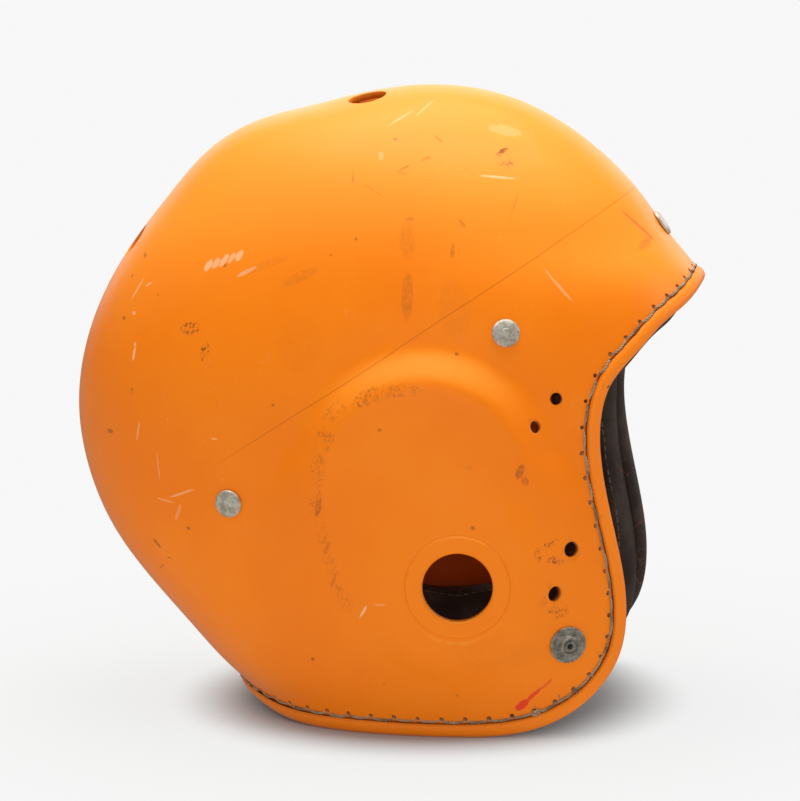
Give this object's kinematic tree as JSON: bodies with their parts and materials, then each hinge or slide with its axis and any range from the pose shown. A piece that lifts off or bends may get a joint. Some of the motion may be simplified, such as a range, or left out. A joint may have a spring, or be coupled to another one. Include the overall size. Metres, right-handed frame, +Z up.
{
  "type": "football helmet",
  "caption": "Vintage football helmet: hard one-piece orange shell with ear domes, sewn edge welt, web suspension, leather pads, rivets and chin-strap studs.",
  "frame": {"origin": "on the table under the middle of the helmet's box in X and Y, at the level of the lowest flat of the edge welt", "axes": "+X is where the wearer's face looks, +Y is the wearer's left, +Z is up"},
  "size_m": [0.2969, 0.2246, 0.2912],
  "materials": {
    "orange_shell": "semi-gloss moulded plastic, scuffed",
    "orange_vinyl": "satin vinyl",
    "dark_leather": "worn dark brown leather over foam",
    "tan_leather": "plain tan leather",
    "cotton_web": "woven cotton webbing",
    "lace_cord": "braided cord",
    "nickel": "dull nickel plate",
    "aged_steel": "darkened nickelled steel",
    "brass": "plain brass"
  },
  "bodies": {
    "root": {"shell": "orange_shell", "edge_welt": "orange_vinyl", "brow_pad": "dark_leather", "nape_pad": "dark_leather", "jaw_pad_right": "dark_leather", "jaw_pad_left": "dark_leather", "sweatband": "tan_leather", "crown_lace": "lace_cord", "web_strap_brow": "cotton_web", "web_strap_rear": "cotton_web", "web_strap_front_right": "cotton_web", "web_strap_front_left": "cotton_web", "web_strap_rear_right": "cotton_web", "web_strap_rear_left": "cotton_web", "rivet_brow": "nickel", "rivet_rear": "nickel", "rivet_front_right": "nickel", "rivet_front_left": "nickel", "rivet_rear_right": "nickel", "rivet_rear_left": "nickel", "rivet_washer_brow": "brass", "rivet_washer_rear": "brass", "rivet_washer_front_right": "brass", "rivet_washer_front_left": "brass", "rivet_washer_rear_right": "brass", "rivet_washer_rear_left": "brass", "strap_stud_right": "aged_steel", "stud_eyelet_right": "aged_steel", "stud_washer_right": "brass", "strap_stud_left": "aged_steel", "stud_eyelet_left": "aged_steel", "stud_washer_left": "brass"}
  },
  "joints": []
}
